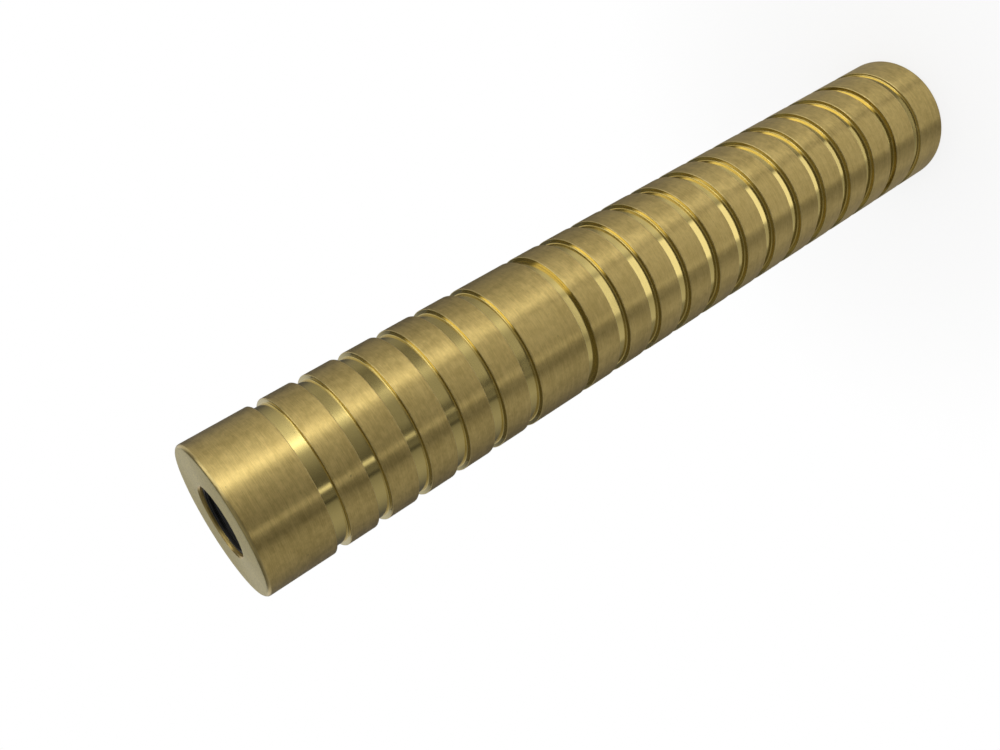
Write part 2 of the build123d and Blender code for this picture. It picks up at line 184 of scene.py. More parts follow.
def make_turned_tree():
    """Sorts the section's corners and the rings' corners into one outline and turns it round Z."""
    graph, given = new_shape_graph("turned body", {
        "Section": "Geometry",
        "Outer Radius": "Float",
        "First Ring": "Float",
        "Ring Pitch": "Float",
        "Ring Width": "Float",
        "Ring Depth": "Float",
        "Ring Count": "Int",
        "After Corner": "Int",
        "Lip Round": "Float",
        "Floor Round": "Float",
        "Closed": "Bool",
        "Metal": "Material",
    })
    total = given["Ring Count"] * 4
    rings = graph.add("GeometryNodeMeshLine", {"mode": "OFFSET"}, {"Count": total})
    index = graph.add("GeometryNodeInputIndex")
    corner = index % 4
    ring = (index / 4).math("FLOOR")
    floor = (corner - 1.5).math("ABSOLUTE") < 1.0
    upper = corner > 1.5
    radius = given["Outer Radius"] - given["Ring Depth"] * floor
    height = given["First Ring"] + given["Ring Pitch"] * ring + given["Ring Width"] * upper
    place = graph.add("ShaderNodeCombineXYZ", {}, {0: radius, 1: height})
    rings = graph.add("GeometryNodeSetPosition", {}, {"Geometry": rings, "Position": place})
    order = given["After Corner"] + (index + 1) / (total + 1)
    rounding = given["Lip Round"] + (given["Floor Round"] - given["Lip Round"]) * floor
    for name, value in (("order", order), ("rounding", rounding), ("cut", floor)):
        values = {"Geometry": rings, "Name": name, "Value": value}
        rings = graph.add("GeometryNodeStoreNamedAttribute", {"data_type": "FLOAT"}, values)
    corners = graph.join(given["Section"], rings)
    x, y = graph.axes(graph.add("GeometryNodeInputPosition"))[:2]
    place = graph.add("ShaderNodeCombineXYZ", {}, {0: x - HUB_RADIUS, 1: y * -1.0})
    corners = graph.add("GeometryNodeSetPosition", {}, {"Geometry": corners, "Position": place})
    corners = graph.add("GeometryNodeMeshToPoints", {}, {0: corners})
    stored = {
        name: graph.add("GeometryNodeInputNamedAttribute", {"data_type": "FLOAT"}, {"Name": name})
        for name in ("order", "rounding")
    }
    outline = graph.add("GeometryNodePointsToCurves", {}, {"Points": corners, "Weight": stored["order"]})
    values = {"Geometry": outline, "Cyclic": given["Closed"]}
    outline = graph.add("GeometryNodeSetSplineCyclic", {}, values)
    values = {"Curve": outline, "Count": CORNER_STEPS, "Radius": stored["rounding"], "Limit Radius": True}
    outline = graph.add("GeometryNodeFilletCurve", {"mode": "POLY"}, values)
    values = {"Resolution": TURN_STEPS, "Radius": HUB_RADIUS}
    circle = graph.add("GeometryNodeCurvePrimitiveCircle", {"mode": "RADIUS"}, values)
    circle = graph.add("GeometryNodeSetCurveNormal", {"mode": "Z_UP"}, {"Curve": circle})
    body = graph.add("GeometryNodeCurveToMesh", {}, {"Curve": circle, "Profile Curve": outline})
    body = graph.add("GeometryNodeMergeByDistance", {}, {"Geometry": body, "Distance": 1e-7})
    body = graph.add("GeometryNodeFlipFaces", {}, {0: body})
    body = graph.add("GeometryNodeSetShadeSmooth", {}, {"Geometry": body})
    body = graph.add("GeometryNodeRealizeInstances", {}, {"Geometry": body})
    body = graph.add("GeometryNodeSetMaterial", {}, {"Geometry": body, "Material": given["Metal"]})
    graph.add("NodeGroupOutput", {}, {"Geometry": body})
    return graph.tree


HELIX_STEPS = 72
RIDGE_LIFT = 0.47
RUNOUT_TURNS = 0.2
RUNOUT_END = 0.03


def make_thread_tree():
    """Adds a screw thread's ridge, swept along a right-handed helix with run-outs at both ends."""
    graph, given = new_shape_graph("screw thread", {
        "Geometry": "Geometry",
        "Root Radius": "Float",
        "Ridge Height": "Float",
        "Root Width": "Float",
        "Crest Width": "Float",
        "Pitch": "Float",
        "Start": "Float",
        "Turns": "Float",
        "Inside": "Float",
        "Metal": "Material",
    })
    values = {
        "Resolution": HELIX_STEPS,
        "Rotations": given["Turns"],
        "Start Radius": given["Root Radius"],
        "End Radius": given["Root Radius"],
        "Height": given["Pitch"] * given["Turns"],
        "Reverse": True,
    }
    helix = graph.add("GeometryNodeCurveSpiral", {}, values)
    helix = graph.add("GeometryNodeSetCurveNormal", {"mode": "Z_UP"}, {"Curve": helix})
    values = {
        "Height": given["Ridge Height"],
        "Bottom Width": given["Root Width"],
        "Top Width": given["Crest Width"],
        "Offset": 0.0,
    }
    ridge = graph.add("GeometryNodeCurvePrimitiveQuadrilateral", {"mode": "TRAPEZOID"}, values)
    lift = given["Ridge Height"] * RIDGE_LIFT
    side = 1.0 - given["Inside"] * 2.0
    turn = graph.add("ShaderNodeCombineXYZ", {}, {2: side * (-0.5 * math.pi)})
    shift = graph.add("ShaderNodeCombineXYZ", {}, {0: side * lift})
    values = {"Geometry": ridge, "Translation": shift, "Rotation": turn}
    ridge = graph.add("GeometryNodeTransform", {}, values)
    along = graph.add("GeometryNodeSplineParameter", {}, {}, "Factor") * given["Turns"]
    last = along - given["Turns"] + RUNOUT_TURNS
    runout = along.rise(0.0, RUNOUT_TURNS) * (1.0 - last.rise(0.0, RUNOUT_TURNS))
    runout = runout.math("MAXIMUM", RUNOUT_END)
    values = {"Curve": helix, "Profile Curve": ridge, "Scale": runout, "Fill Caps": True}
    ridge = graph.add("GeometryNodeCurveToMesh", {}, values)
    lift = graph.add("ShaderNodeCombineXYZ", {}, {2: given["Start"]})
    ridge = graph.add("GeometryNodeSetPosition", {}, {"Geometry": ridge, "Offset": lift})
    ridge = graph.add("GeometryNodeSetMaterial", {}, {"Geometry": ridge, "Material": given["Metal"]})
    both = graph.join(given["Geometry"], ridge)
    both = graph.add("GeometryNodeSetShadeSmooth", {}, {"Geometry": both})
    both = graph.add("GeometryNodeRealizeInstances", {}, {"Geometry": both})
    both = graph.add("GeometryNodeSetMaterial", {}, {"Geometry": both, "Material": given["Metal"]})
    graph.add("NodeGroupOutput", {}, {"Geometry": both})
    return graph.tree


turned_tree = make_turned_tree()
thread_tree = make_thread_tree()
NO_RINGS = {
    "First Ring": 0.0,
    "Ring Pitch": 0.0,
    "Ring Width": 0.0,
    "Ring Depth": 0.0,
    "Ring Count": 0,
    "After Corner": 0,
    "Lip Round": 0.0,
    "Floor Round": 0.0,
}


def add_tree(piece, tree, values):
    """Puts a geometry tree on a piece, with its inputs set by their sockets' identifiers."""
    modifier = piece.modifiers.new(tree.name, "NODES")
    modifier.node_group = tree
    for item in tree.interface.items_tree:
        if item.in_out == "INPUT" and item.name in values:
            modifier[item.identifier] = values[item.name]


def settle(piece):
    """Makes what a piece's modifiers show into its plain mesh."""
    seen = piece.evaluated_get(bpy.context.evaluated_depsgraph_get())
    piece.data = bpy.data.meshes.new_from_object(seen)
    piece.modifiers.clear()


FLOOR = "floor of a ring"


def turn_piece(name, section, metal, rings=None, threads=(), closed=True):
    """Turns a section into a solid piece: radius, height and round of each corner in mm, and FLOOR."""
    drawing = bpy.data.meshes.new(name)
    drawing.from_pydata([(r / 1000, z / 1000, 0.0) for r, z, *rest in section], [], [])
    order = drawing.attributes.new("order", "FLOAT", "POINT")
    rounds = drawing.attributes.new("rounding", "FLOAT", "POINT")
    cuts = drawing.attributes.new("cut", "FLOAT", "POINT")
    for index, (r, z, rounding, *floor) in enumerate(section):
        order.data[index].value = index
        rounds.data[index].value = rounding / 1000
        cuts.data[index].value = len(floor)
    piece = bpy.data.objects.new(name, drawing)
    bpy.context.collection.objects.link(piece)
    add_tree(piece, turned_tree, {**(rings or NO_RINGS), "Closed": closed, "Metal": metal})
    for thread in threads:
        add_tree(piece, thread_tree, {**thread, "Metal": metal})
    smoothing = piece.modifiers.new("flat lands", "WEIGHTED_NORMAL")
    smoothing.weight = 50
    settle(piece)
    piece.data.name = name
    bpy.data.meshes.remove(drawing)
    return piece


def new_finish(name):
    """A new material and the graph that it is drawn in."""
    material = bpy.data.materials.new(name)
    material.use_nodes = True
    material.node_tree.nodes.clear()
    return material, Graph(material.node_tree)


def close_finish(graph, values):
    """Ends a material's graph with one principled surface."""
    surface = graph.add("ShaderNodeBsdfPrincipled", {}, values)
    graph.add("ShaderNodeOutputMaterial", {}, {"Surface": surface})


def paint(finish, *names):
    """Gives CAD nodes a finish."""
    for name in names:
        for slot in nodes[name].material_slots:
            slot.material = finish


MIDDLE = 0.081
END_FACES = 0.0799
LIP_R = 0.0126


def make_turned_brass():
    """Satin brass with the tool's short lines round it, brighter ring floors and paler end faces."""
    material, graph = new_finish("turned brass")
    spot = graph.add("ShaderNodeTexCoord", {}, {}, "Object")
    x, y, z = graph.axes(spot)
    radius = (x * x + y * y) ** 0.5
    facing = graph.add("ShaderNodeNewGeometry", {}, {}, "Normal")
    upright = graph.axes(facing)[2].math("ABSOLUTE")
    cut = graph.add("ShaderNodeAttribute", {"attribute_name": "cut"}, {}, "Fac")
    floor = cut.rise(0.97, 1.0)
    wall = upright.rise(0.8, 0.98)
    face = wall * ((z - MIDDLE).math("ABSOLUTE") > END_FACES)
    lip = upright.rise(0.08, 0.3) * (1.0 - upright.rise(0.75, 0.95)) * (radius > LIP_R)
    along = (radius + z) * 9000.0
    lines_place = graph.add("ShaderNodeCombineXYZ", {}, {0: x * 600.0, 1: y * 600.0, 2: along})
    lines = graph.noise(lines_place, 1.0, 3.0, 0.65)
    coarse_place = graph.add("ShaderNodeCombineXYZ", {}, {0: x * 60.0, 1: y * 60.0, 2: along * 0.22})
    coarse = graph.noise(coarse_place, 1.0, 2.0)
    mottle = graph.noise(spot, 800.0, 5.0, 0.65)
    cloud = graph.noise(spot, 120.0, 3.0)
    grain = graph.noise(spot, 3600.0, 2.0, 0.7)
    pits = graph.noise(spot, 1500.0, 1.0).rise(0.8, 0.83)
    shade = lines * 0.35 + coarse * 0.15 + mottle * 0.35 + cloud * 0.15
    metal = shade.rise(0.36, 0.64).blend((0.55, 0.405, 0.135), (0.8, 0.605, 0.225))
    metal = wall.blend(metal, (0.68, 0.575, 0.26))
    metal = floor.blend(metal, (0.78, 0.62, 0.225))
    metal = (lip * 0.35).blend(metal, (0.88, 0.73, 0.34))
    faced = (grain * 0.6 + mottle * 0.4).rise(0.32, 0.68).blend((0.58, 0.49, 0.2), (0.84, 0.72, 0.33))
    metal = face.blend(metal, faced)
    metal = (pits * 0.5 * (1.0 - floor)).blend(metal, (0.2, 0.14, 0.05))
    rough = 0.22 + mottle * 0.14 + lines * 0.08
    smooth = 0.1 + mottle * 0.08 + face * 0.24
    relief = lines * 0.32 + coarse * 0.3 + grain * 0.5 + mottle * 0.45 - pits
    bump = graph.add("ShaderNodeBump", {}, {"Strength": 1.0, "Distance": 4e-6, "Height": relief})
    shared = {"Base Color": metal, "Metallic": 1.0, "Normal": bump}
    satin = {**shared, "Roughness": rough, "Anisotropic": 0.88, "Anisotropic Rotation": 0.25}
    bright = {**shared, "Roughness": smooth, "Anisotropic": 0.4, "Anisotropic Rotation": 0.25}
    cut_across = floor.math("MAXIMUM", wall)
    satin = graph.add("ShaderNodeBsdfPrincipled", {}, satin)
    bright = graph.add("ShaderNodeBsdfPrincipled", {}, bright)
    surface = graph.add("ShaderNodeMixShader", {}, {0: cut_across, 1: satin, 2: bright})
    graph.add("ShaderNodeOutputMaterial", {}, {"Surface": surface})
    return material


turned_brass = make_turned_brass()
BODY_R = 13.0
RING_PITCH = 7.5
RING_DEPTH = 0.8
FLOOR_R = BODY_R - RING_DEPTH
RING_WIDTH = 2.4
CORNER = 0.15
FLOOR_ROUND = 0.15
MOUTH_ROUND = 0.12
FIRST_LAND = 5.4
SEAT_R = 10.25
SEAT_DEPTH = 2.6
THREAD_BORE_R = 10.05
THREAD_DEPTH = 7.05
CELL_BORE_R = 9.4
tube_low, tube_high = (corner.z * 1000 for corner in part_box("battery_tube"))
tube_section = [
    (SEAT_R, tube_low, MOUTH_ROUND),
    (BODY_R, tube_low, CORNER),
    (BODY_R, tube_high, CORNER),
    (SEAT_R, tube_high, MOUTH_ROUND),
    (SEAT_R, tube_high - SEAT_DEPTH, 0.0),
    (THREAD_BORE_R, tube_high - SEAT_DEPTH, 0.0),
    (THREAD_BORE_R, tube_high - THREAD_DEPTH, 0.0),
    (CELL_BORE_R, tube_high - THREAD_DEPTH, 0.0),
    (CELL_BORE_R, tube_low + THREAD_DEPTH, 0.0),
    (THREAD_BORE_R, tube_low + THREAD_DEPTH, 0.0),
    (THREAD_BORE_R, tube_low + SEAT_DEPTH, 0.0),
    (SEAT_R, tube_low + SEAT_DEPTH, 0.0),
]
BODY_RINGS = {
    "Outer Radius": BODY_R / 1000,
    "Ring Pitch": RING_PITCH / 1000,
    "Ring Width": RING_WIDTH / 1000,
    "Ring Depth": RING_DEPTH / 1000,
    "Lip Round": CORNER / 1000,
    "Floor Round": FLOOR_ROUND / 1000,
}
tube_rings = {
    **BODY_RINGS,
    "First Ring": (tube_low + FIRST_LAND) / 1000,
    "Ring Count": 10,
    "After Corner": 1,
}
BODY_THREAD = {
    "Ridge Height": 0.00055,
    "Root Width": 0.00072,
    "Crest Width": 0.00014,
    "Pitch": 0.001,
}
LOW_START = 2.9
HIGH_START = 6.8
bore_thread = {**BODY_THREAD, "Root Radius": THREAD_BORE_R / 1000, "Inside": 1.0, "Turns": 4.0}
tube_threads = [
    {**bore_thread, "Start": (tube_low + LOW_START) / 1000},
    {**bore_thread, "Start": (tube_high - HIGH_START) / 1000},
]
tube_body = turn_piece("tube_body", tube_section, turned_brass, tube_rings, tube_threads)
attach(tube_body, "tube")
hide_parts("battery_tube")


# Cell: a rechargeable cell of drawn, nickel-plated steel, crimped over a white gasket round its plus
# cap, with the wound foils inside and a blue film shrunk round it.
def make_turned_metal(name, dark, light, rough, lines_depth=3e-6):
    """Bare metal with the lines of its tool or die running round it, clouded and lightly scuffed."""
    material, graph = new_finish(name)
    spot = graph.add("ShaderNodeTexCoord", {}, {}, "Object")
    x, y, z = graph.axes(spot)
    radius = (x * x + y * y) ** 0.5
    place = graph.add("ShaderNodeCombineXYZ", {}, {0: x * 250.0, 1: y * 250.0, 2: (radius + z) * 8000.0})
    lines = graph.noise(place, 1.0, 3.0, 0.6)
    cloud = graph.noise(spot, 350.0, 4.0, 0.6)
    place = graph.add("ShaderNodeCombineXYZ", {}, {0: x * 5000.0, 1: y * 700.0, 2: z * 700.0})
    scuffs = graph.noise(place, 1.0, 1.0).rise(0.68, 0.74)
    metal = (lines * 0.4 + cloud * 0.6).rise(0.3, 0.7).blend(dark, light)
    metal = (scuffs * 0.35).blend(metal, (0.9, 0.88, 0.84))
    relief = lines * 0.7 + cloud * 0.3 - scuffs * 0.5
    bump = graph.add("ShaderNodeBump", {}, {"Strength": 1.0, "Distance": lines_depth, "Height": relief})
    close_finish(graph, {
        "Base Color": metal,
        "Metallic": 1.0,
        "Roughness": rough + cloud * 0.12 + lines * 0.06,
        "Normal": bump,
    })
    return material


def make_moulding(name, dark, light, rough, grain, depth, specular=0.5):
    """Moulded or drawn plastic and rubber: a fine grain in it, soft clouds and a little dust on it."""
    material, graph = new_finish(name)
    spot = graph.add("ShaderNodeTexCoord", {}, {}, "Object")
    fine = graph.noise(spot, grain, 3.0, 0.65)
    cloud = graph.noise(spot, grain * 0.09, 3.0)
    dust = graph.noise(spot, grain * 1.7, 1.0).rise(0.73, 0.8)
    colour = (fine * 0.5 + cloud * 0.5).rise(0.3, 0.7).blend(dark, light)
    colour = (dust * 0.25).blend(colour, (0.55, 0.52, 0.48))
    relief = fine * 0.8 + cloud * 0.4 + dust * 0.2
    bump = graph.add("ShaderNodeBump", {}, {"Strength": 1.0, "Distance": depth, "Height": relief})
    close_finish(graph, {
        "Base Color": colour,
        "Roughness": rough + cloud * 0.14 + dust * 0.15,
        "Specular IOR Level": specular,
        "Normal": bump,
    })
    return material


def make_wound_foil():
    """Copper, separator and aluminium in turn, wound in a spiral."""
    material, graph = new_finish("wound foil")
    spot = graph.add("ShaderNodeTexCoord", {}, {}, "Object")
    x, y = graph.axes(spot)[:2]
    radius = (x * x + y * y) ** 0.5
    turn = y.math("ARCTAN2", x) / (2.0 * math.pi)
    wrinkle = graph.noise(spot, 300.0, 3.0) * 0.4
    layer = (radius / 0.00032 - turn + wrinkle) % 1.0
    foil = (layer > 0.36).blend((0.62, 0.34, 0.2), (0.83, 0.83, 0.8))
    foil = (layer > 0.7).blend(foil, (0.6, 0.6, 0.62))
    paper = (layer > 0.3) * (layer < 0.42)
    values = {"Strength": 1.0, "Distance": 4e-5, "Height": layer.rise(0.0, 0.3) + wrinkle}
    bump = graph.add("ShaderNodeBump", {}, values)
    close_finish(graph, {
        "Base Color": foil,
        "Metallic": 1.0 - paper,
        "Roughness": 0.3 + wrinkle * 0.3 + paper * 0.3,
        "Normal": bump,
    })
    return material


cell_nickel = make_turned_metal("cell nickel", (0.5, 0.48, 0.44), (0.72, 0.7, 0.66), 0.2)
cell_film = make_moulding("cell film", (0.02, 0.075, 0.3), (0.035, 0.11, 0.4), 0.2, 900.0, 1.2e-5)
gasket_white = make_moulding("gasket white", (0.68, 0.67, 0.62), (0.8, 0.79, 0.75), 0.38, 1500.0, 4e-6)
paint(cell_nickel, "cell_can", "cell_cap")
paint(make_wound_foil(), "cell_roll")
paint(gasket_white, "cell_gasket")
paint(cell_film, "cell_wrap")


# Tail cap: brass, with one shallow ring, a button hole behind and a threaded spigot in front that
# screws into the tube. An O-ring sits in the groove at the spigot's root.
RIM = 0.45
CAP_SKIRT = 15.5
BOARD_LEDGE = 15.2
SWITCH_BORE_R = 7.6
FLANGE_LEDGE = 4.5
BUTTON_HOLE_R = 5.05
BUTTON_MOUTH_R = 5.35
BUTTON_MOUTH = 0.3
THREAD_ROOT_R = 9.45
SPIGOT_BORE_R = 8.5
SEAL_LAND_R = 10.2
SEAL_FLOOR_R = 9.39
SEAL_NEAR = 0.8
SEAL_FAR = 1.9
cap_low, cap_high = (corner.z * 1000 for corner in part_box("tail_cap"))
cap_section = [
    (BUTTON_MOUTH_R, cap_low, 0.06),
    (BODY_R, cap_low, RIM),
    (BODY_R, cap_low + CAP_SKIRT, CORNER),
    (FLOOR_R, cap_low + CAP_SKIRT, 0.1, FLOOR),
    (FLOOR_R, tube_low, 0.05, FLOOR),
    (SEAL_LAND_R, tube_low, 0.1),
    (SEAL_LAND_R, tube_low + SEAL_NEAR, 0.06),
    (SEAL_FLOOR_R, tube_low + SEAL_NEAR, 0.1),
    (SEAL_FLOOR_R, tube_low + SEAL_FAR, 0.1),
    (SEAL_LAND_R, tube_low + SEAL_FAR, 0.06),
    (SEAL_LAND_R, tube_low + SEAT_DEPTH, 0.15),
    (THREAD_ROOT_R, tube_low + SEAT_DEPTH, 0.05),
    (THREAD_ROOT_R, cap_high, 0.3),
    (SPIGOT_BORE_R, cap_high, 0.15),
    (SPIGOT_BORE_R, BOARD_LEDGE, 0.0),
    (SWITCH_BORE_R, BOARD_LEDGE, 0.0),
    (SWITCH_BORE_R, FLANGE_LEDGE, 0.2),
    (BUTTON_HOLE_R, FLANGE_LEDGE, 0.1),
    (BUTTON_HOLE_R, BUTTON_MOUTH, 0.06),
]
cap_rings = {
    **BODY_RINGS,
    "First Ring": 0.0075,
    "Ring Width": 0.002,
    "Ring Depth": 0.0005,
    "Ring Count": 1,
    "After Corner": 1,
}
HALF_PITCH = 0.5
spigot_thread = {**BODY_THREAD, "Root Radius": THREAD_ROOT_R / 1000, "Inside": 0.0, "Turns": 3.2}
cap_threads = [{**spigot_thread, "Start": (tube_low + LOW_START + HALF_PITCH) / 1000}]
cap_body = turn_piece("cap_body", cap_section, turned_brass, cap_rings, cap_threads)
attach(cap_body, "tail")
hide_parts("tail_cap")


# Seals: black rubber O-rings, moulded in two halves, one on each spigot and one on the button's stem.
def make_seal_rubber():
    """Black rubber with the mould's fine parting line and a little bloom."""
    material, graph = new_finish("seal rubber")
    spot = graph.add("ShaderNodeTexCoord", {}, {}, "Object")
    z = graph.axes(spot)[2]
    bloom = graph.noise(spot, 420.0, 4.0, 0.6)
    grain = graph.noise(spot, 4200.0, 2.0, 0.7)
    wave = graph.noise(spot, 260.0, 1.0) * 0.00005
    seam = 0.0
    for name in ("head_seal", "tail_seal", "button_seal"):
        low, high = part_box(name)
        offset = (z - (low.z + high.z) / 2 + wave).math("ABSOLUTE")
        seam = seam + (1.0 - offset.rise(0.00001, 0.00004))
    colour = bloom.rise(0.35, 0.7).blend((0.012, 0.012, 0.012), (0.04, 0.038, 0.036))
    relief = grain * 0.3 + bloom * 0.3 + seam
    bump = graph.add("ShaderNodeBump", {}, {"Strength": 1.0, "Distance": 1.2e-5, "Height": relief})
    close_finish(graph, {
        "Base Color": colour,
        "Roughness": 0.42 + bloom * 0.25,
        "Specular IOR Level": 0.4,
        "Normal": bump,
    })
    return material


paint(make_seal_rubber(), "head_seal", "tail_seal", "button_seal")


# Tail button: brass, dished behind for the thumb, held in the cap by its flange. The boss on the
# flange presses the switch's plunger.
DISH_R = 4.4
DISH_DEPTH = 0.4
BUTTON_LOW = 0.4
BUTTON_EDGE_R = 4.7
BUTTON_EDGE = 0.3
STEM_R = 5.0
STEM_GROOVE_R = 4.34
GROOVE_LOW = 1.8
GROOVE_HIGH = 2.8
FLANGE_R = 6.8
FLANGE_HIGH = 5.7
BOSS_R = 2.5
BOSS_HIGH = 6.7
button_section = [
    (0.0, BUTTON_LOW + DISH_DEPTH, 0.0),
    *(
        (DISH_R * share, BUTTON_LOW + DISH_DEPTH * (1.0 - share**2), 0.0)
        for share in (0.12, 0.25, 0.4, 0.55, 0.7, 0.85)
    ),
    (DISH_R, BUTTON_LOW, 0.05),
    (BUTTON_EDGE_R, BUTTON_LOW, 0.05),
    (STEM_R, BUTTON_LOW + BUTTON_EDGE, 0.1),
    (STEM_R, GROOVE_LOW, 0.05),
    (STEM_GROOVE_R, GROOVE_LOW, 0.05),
    (STEM_GROOVE_R, GROOVE_HIGH, 0.05),
    (STEM_R, GROOVE_HIGH, 0.05),
    (STEM_R, FLANGE_LEDGE, 0.0),
    (FLANGE_R, FLANGE_LEDGE, 0.1),
    (FLANGE_R, FLANGE_HIGH, 0.1),
    (BOSS_R, FLANGE_HIGH, 0.1),
    (BOSS_R, BOSS_HIGH, 0.1),
    (0.0, BOSS_HIGH, 0.0),
]
button_body = turn_piece("button_body", button_section, turned_brass, closed=False)
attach(button_body, "button")
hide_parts("tail_button")


# Switch: a black moulded push switch with a white plunger on a steel spring. It is soldered to a
# green board that a brass ring clamps in the cap, and a gold-plated spring carries the cell.
PAD_R = 0.0007


def make_board(name, rings, pads):
    """Green solder mask over glass cloth and copper tracks, with gold rings and pads left open."""
    material, graph = new_finish(name)
    spot = graph.add("ShaderNodeTexCoord", {}, {}, "Object")
    x, y, z = graph.axes(spot)
    radius = (x * x + y * y) ** 0.5
    weave = ((x * 9000.0).math("SINE") * (y * 9000.0).math("SINE") * 0.5 + 0.5) * 0.4
    track = ((z * 1300.0 + (x * 900.0).math("ROUND") * 0.37) % 1.0 - 0.5).math("ABSOLUTE") < 0.13
    ways = graph.noise(spot, 420.0, 0.0).rise(0.48, 0.5)
    cloud = graph.noise(spot, 600.0, 3.0)
    facing = graph.add("ShaderNodeNewGeometry", {}, {}, "Normal")
    flat = graph.axes(facing)[2].math("ABSOLUTE") > 0.5
    gold = 0.0
    for low, high in rings:
        gold = gold + (radius > low) * (radius < high) * flat
    for pad_x, pad_z in pads:
        far = ((x - pad_x) * (x - pad_x) + (z - pad_z) * (z - pad_z)) ** 0.5
        gold = gold + (far < PAD_R)
    gold = gold.math("MINIMUM", 1.0)
    tracks = track * ways * (1.0 - flat)
    mask = (cloud * 0.5 + weave).rise(0.2, 0.8).blend((0.008, 0.09, 0.03), (0.02, 0.16, 0.055))
    mask = (tracks * 0.7).blend(mask, (0.05, 0.3, 0.1))
    gold_colour = cloud.rise(0.3, 0.7).blend((0.78, 0.55, 0.2), (0.92, 0.7, 0.32))
    relief = weave * 0.4 + tracks * 0.8 + gold + cloud * 0.3
    bump = graph.add("ShaderNodeBump", {}, {"Strength": 1.0, "Distance": 1.5e-5, "Height": relief})
    close_finish(graph, {
        "Base Color": gold.blend(mask, gold_colour),
        "Metallic": gold,
        "Roughness": 0.24 + cloud * 0.16,
        "Normal": bump,
    })
    return material


COIL_STEPS = 48
WIRE_SIDES = 16


def make_coil_tree():
    """Round wire wound in a right-handed helix."""
    graph, given = new_shape_graph("coil", {
        "Radius": "Float",
        "Wire": "Float",
        "Low": "Float",
        "Height": "Float",
        "Turns": "Float",
        "Metal": "Material",
    })
    values = {
        "Resolution": COIL_STEPS,
        "Rotations": given["Turns"],
        "Start Radius": given["Radius"],
        "End Radius": given["Radius"],
        "Height": given["Height"],
        "Reverse": True,
    }
    helix = graph.add("GeometryNodeCurveSpiral", {}, values)
    helix = graph.add("GeometryNodeSetCurveNormal", {"mode": "Z_UP"}, {"Curve": helix})
    values = {"Resolution": WIRE_SIDES, "Radius": given["Wire"] / 2.0}
    section = graph.add("GeometryNodeCurvePrimitiveCircle", {"mode": "RADIUS"}, values)
    values = {"Curve": helix, "Profile Curve": section, "Fill Caps": True}
    coil = graph.add("GeometryNodeCurveToMesh", {}, values)
    lift = graph.add("ShaderNodeCombineXYZ", {}, {2: given["Low"]})
    coil = graph.add("GeometryNodeSetPosition", {}, {"Geometry": coil, "Offset": lift})
    coil = graph.add("GeometryNodeSetShadeSmooth", {}, {"Geometry": coil})
    coil = graph.add("GeometryNodeSetMaterial", {}, {"Geometry": coil, "Material": given["Metal"]})
    graph.add("NodeGroupOutput", {}, {"Geometry": coil})
    return graph.tree


coil_tree = make_coil_tree()


def wind_spring(name, node, wire, pitch, metal):
    """Winds a coil spring that fills a CAD node's box, its wire and pitch in mm."""
    low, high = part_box(node)
    height = high.z - low.z - wire / 1000
    piece = bpy.data.objects.new(name, bpy.data.meshes.new(name))
    bpy.context.collection.objects.link(piece)
    add_tree(piece, coil_tree, {
        "Radius": high.x - wire / 2000,
        "Wire": wire / 1000,
        "Low": low.z + wire / 2000,
        "Height": height,
        "Turns": height * 1000 / pitch,
        "Metal": metal,
    })
    settle(piece)
    return piece, low.z, high.z


switch_black = make_moulding("switch black", (0.012, 0.012, 0.013), (0.03, 0.03, 0.031), 0.4, 2600.0, 6e-6)
plunger_white = make_moulding("plunger white", (0.66, 0.65, 0.6), (0.78, 0.77, 0.73), 0.36, 1800.0, 4e-6)
spring_steel = make_turned_metal("spring steel", (0.42, 0.42, 0.42), (0.66, 0.66, 0.65), 0.18)
spring_gold = make_turned_metal("spring gold", (0.74, 0.53, 0.22), (0.93, 0.72, 0.36), 0.16, 2e-6)
clamp_brass = make_turned_metal("clamp brass", (0.55, 0.41, 0.16), (0.78, 0.6, 0.27), 0.26)
paint(switch_black, "switch_body")
paint(plunger_white, "switch_plunger")
switch_coil, coil_low, coil_high = wind_spring("switch_coil", "switch_spring", 0.3, 0.8, spring_steel)
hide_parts("switch_spring")
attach(switch_coil, "tail")
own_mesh(switch_coil)
paint(spring_gold, "tail_spring", "switch_terminals", "contact_spring")
paint(make_board("switch board", ((0.0042, 0.0062), (0.0071, 0.0083)), ()), "switch_board")
paint(clamp_brass, "switch_ring", "driver_ring", "module_ring")


